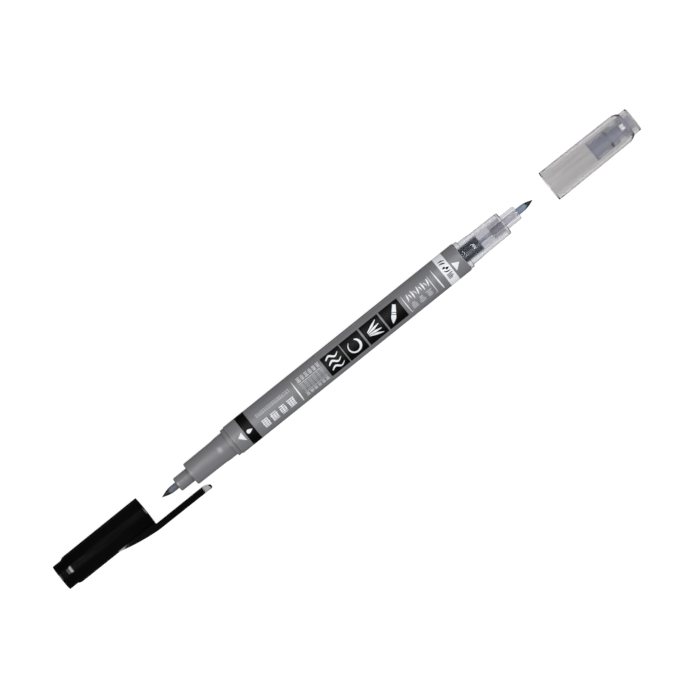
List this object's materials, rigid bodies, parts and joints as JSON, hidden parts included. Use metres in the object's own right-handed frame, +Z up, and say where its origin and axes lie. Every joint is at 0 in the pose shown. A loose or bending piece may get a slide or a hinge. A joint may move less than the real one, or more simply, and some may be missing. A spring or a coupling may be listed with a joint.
{
  "type": "calligraphy marker",
  "caption": "Slim double-ended brush pen with an opaque black-ink end and a see-through grey-ink end, push-on caps with inner seals and a clip, caps pulled off in line.",
  "frame": {"origin": "on the surface that the pen lies on, under the middle of its footprint with both caps pulled off", "axes": "+X along the pen's axis, towards the see-through grey-ink end; +Z up from the surface; the clip is on the -Y side"},
  "size_m": [0.231, 0.013, 0.0107],
  "materials": {
    "barrel_plastic": "satin moulded grey polypropylene with screen print",
    "section_plastic": "satin moulded grey polypropylene",
    "clear_plastic": "smoky see-through moulded polypropylene",
    "black_plastic": "glossy moulded black",
    "black_inner_plastic": "moulded black, satin",
    "smoke_inner_plastic": "milky blue-grey moulded",
    "black_nib_elastomer": "ink-stained moulded elastomer",
    "grey_nib_elastomer": "ink-stained moulded elastomer",
    "black_ink_fibre": "bundled fibre soaked with black ink",
    "grey_ink_fibre": "bundled fibre soaked with grey ink",
    "reservoir_film": "thin clear film wrap"
  },
  "bodies": {
    "pen": {"barrel": "barrel_plastic", "black_section": "section_plastic", "grey_section": "clear_plastic", "black_brush_nib": "black_nib_elastomer", "grey_brush_nib": "grey_nib_elastomer", "black_feed_core": "black_ink_fibre", "grey_feed_core": "grey_ink_fibre", "black_ink_reservoir": "black_ink_fibre", "grey_ink_reservoir": "grey_ink_fibre", "black_reservoir_film": "reservoir_film", "grey_reservoir_film": "reservoir_film"},
    "black_cap": {"black_cap_shell": "black_plastic", "black_inner_cap": "black_inner_plastic"},
    "black_clip": {"black_clip_arm": "black_plastic"},
    "clear_cap": {"clear_cap_shell": "clear_plastic", "clear_inner_cap": "smoke_inner_plastic"}
  },
  "joints": [
    {"name": "black_cap_slide", "type": "slide", "parent": "pen", "child": "black_cap", "axis": [1, 0, 0], "range_m": [0, 0.0338]},
    {"name": "clear_cap_slide", "type": "slide", "parent": "pen", "child": "clear_cap", "axis": [-1, 0, 0], "range_m": [0, 0.0338]},
    {"name": "clip_flex", "type": "hinge", "parent": "black_cap", "child": "black_clip", "pos_m": [-0.0814, -0.00531, 0.00537], "axis": [0, 0, -1], "range_deg": [0, 3.5], "stiffness_Nm_per_rad": 0.4}
  ]
}
